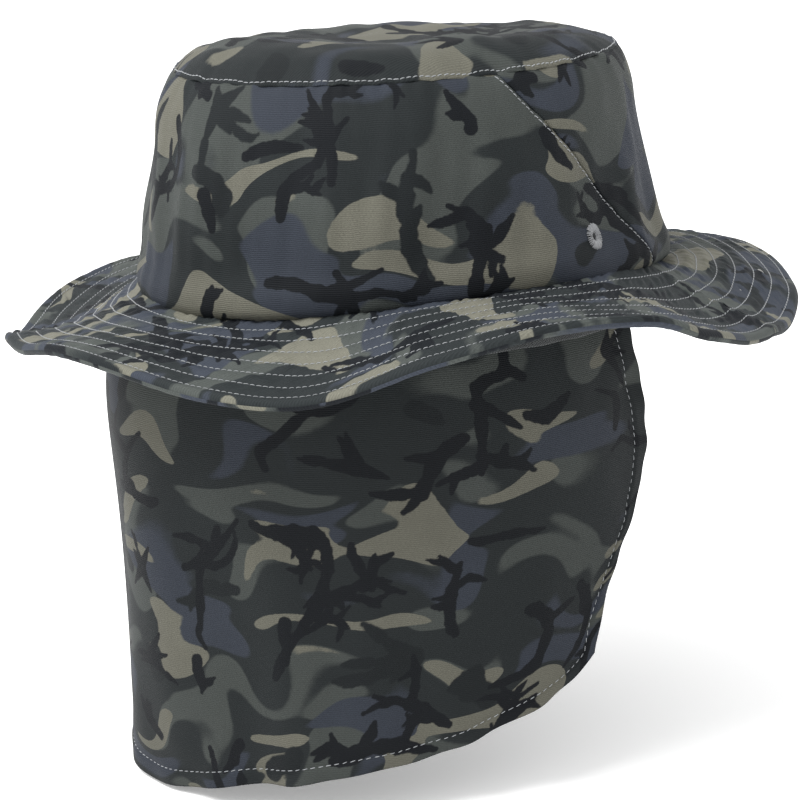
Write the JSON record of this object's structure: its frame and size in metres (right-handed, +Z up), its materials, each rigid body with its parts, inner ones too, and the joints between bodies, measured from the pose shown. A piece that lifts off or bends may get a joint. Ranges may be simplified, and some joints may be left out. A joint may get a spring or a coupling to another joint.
{
  "type": "boonie hat",
  "caption": "Soft sun hat with an oval crown, a wide quilted brim with rows of stitching, and a cloth cape that hangs from the brim seam and covers the neck.",
  "frame": {"origin": "centre of the head opening, level with the seam between crown and brim", "axes": "+X towards the front of the hat, +Y towards the wearer's left, +Z up"},
  "size_m": [0.2985, 0.2622, 0.2651],
  "materials": {
    "crown_cloth": "woven polyester with a fine crosswise rib and a printed camouflage, slightly satin",
    "brim_cloth": "the same printed cloth, quilted",
    "cape_cloth": "the same printed cloth, single layer",
    "thread": "light grey sewing thread",
    "seam_tape": "dark woven bias tape",
    "sweatband_cloth": "soft dark brushed band",
    "brim_core": "stiff non-woven interlining"
  },
  "bodies": {
    "root": {"crown_tip": "crown_cloth", "crown_front_panel": "crown_cloth", "crown_back_panel": "crown_cloth", "tip_topstitch": "thread", "tip_seam_tape": "seam_tape", "side_seam_tape_left": "seam_tape", "side_seam_tape_right": "seam_tape", "side_topstitch_left": "thread", "side_topstitch_right": "thread", "eyelet_left": "thread", "eyelet_right": "thread", "sweatband": "sweatband_cloth", "brim_top_front": "brim_cloth", "brim_top_back": "brim_cloth", "brim_under_front": "brim_cloth", "brim_under_back": "brim_cloth", "brim_stiffener": "brim_core", "cape_top_binding": "cape_cloth", "brim_stitch_row_1": "thread", "brim_stitch_row_2": "thread", "brim_stitch_row_3": "thread", "brim_stitch_row_4": "thread", "brim_stitch_row_5": "thread", "brim_stitch_row_6": "thread", "brim_stitch_row_7": "thread"},
    "cape": {"neck_cape": "cape_cloth", "cape_hem_stitch": "thread"}
  },
  "joints": [
    {"name": "cape_swing", "type": "hinge", "parent": "root", "child": "cape", "pos_m": [-0.0543, 0, -0.012], "axis": [0, 1, 0], "range_deg": [-6, 11], "deforming": ["cape_top_binding"]}
  ]
}
